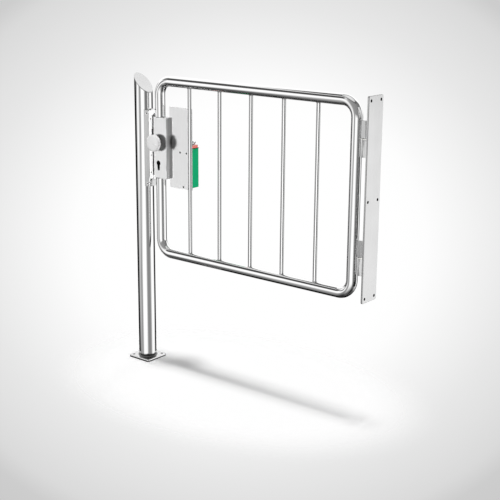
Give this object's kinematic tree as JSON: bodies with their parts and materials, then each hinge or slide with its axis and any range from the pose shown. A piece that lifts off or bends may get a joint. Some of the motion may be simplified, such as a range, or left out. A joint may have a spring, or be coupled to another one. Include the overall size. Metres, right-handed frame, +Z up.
{
  "type": "railing gate",
  "caption": "Swing gate for a railing: bent tube leaf with upright bars, floor post with strike, lock case with knob and lever, sliding door guard, hinges on a wall plate.",
  "frame": {"origin": "centre of the base plate's underside, on the floor under the post's axis", "axes": "+Z up; +X from the post along the leaf to the wall plate; +Y from the knob's side to the lever's side, so the leaf opens towards -Y"},
  "size_m": [0.9504, 0.114, 0.985],
  "materials": {
    "polished_tube": "polished stainless steel tube",
    "satin_plate": "satin stainless steel sheet and plate",
    "turned_steel": "fine turned stainless steel",
    "washer_plastic": "pale grey acetal bearing washer",
    "buffer_rubber": "black rubber",
    "lock_works": "zinc plated steel works, dark inside the case",
    "rail_plastic": "black moulded nylon",
    "guard_green": "green moulded housing",
    "guard_red": "red moulded cap"
  },
  "bodies": {
    "post_and_wall_plate": {"base_plate": "satin_plate", "post_tube": "polished_tube", "post_cap": "satin_plate", "strike_channel": "satin_plate", "strike_saddle_upper": "satin_plate", "strike_saddle_lower": "satin_plate", "stop_buffer_upper": "buffer_rubber", "stop_buffer_lower": "buffer_rubber", "wall_plate": "satin_plate", "wall_knuckle_upper": "satin_plate", "wall_knuckle_lower": "satin_plate", "hinge_pin_upper": "turned_steel", "hinge_pin_lower": "turned_steel", "hinge_washer_upper": "washer_plastic", "hinge_washer_lower": "washer_plastic"},
    "leaf": {"leaf_knuckle_upper": "satin_plate", "leaf_knuckle_lower": "satin_plate", "frame_tube": "polished_tube", "bar_1": "polished_tube", "bar_2": "polished_tube", "bar_3": "polished_tube", "bar_4": "polished_tube", "bar_5": "polished_tube", "lock_case": "satin_plate", "lock_body": "lock_works", "lock_forend": "turned_steel", "latch_bolt": "turned_steel", "knob": "turned_steel", "guard_plate": "satin_plate", "guard_rail": "rail_plastic", "lever_rose": "turned_steel"},
    "lever": {"lever_handle": "turned_steel"},
    "door_guard": {"guard_housing": "guard_green", "guard_cap": "guard_red", "guard_cylinder": "turned_steel"}
  },
  "joints": [
    {"name": "leaf_swing", "type": "hinge", "parent": "post_and_wall_plate", "child": "leaf", "pos_m": [0.86855, 0, 0.6784], "axis": [0, 0, 1], "range_deg": [0, 90]},
    {"name": "lever_turn", "type": "hinge", "parent": "leaf", "child": "lever", "pos_m": [0.07905, 0.016, 0.7645], "axis": [0, 1, 0], "range_deg": [0, 35], "stiffness_Nm_per_rad": 2, "springref_deg": -34.38},
    {"name": "guard_slide", "type": "slide", "parent": "leaf", "child": "door_guard", "axis": [0, 0, -1], "range_m": [0, 0.065]}
  ],
  "couplings": [
    {"joint": "guard_slide", "follows": "lever_turn", "m_per_rad": 0.105}
  ]
}
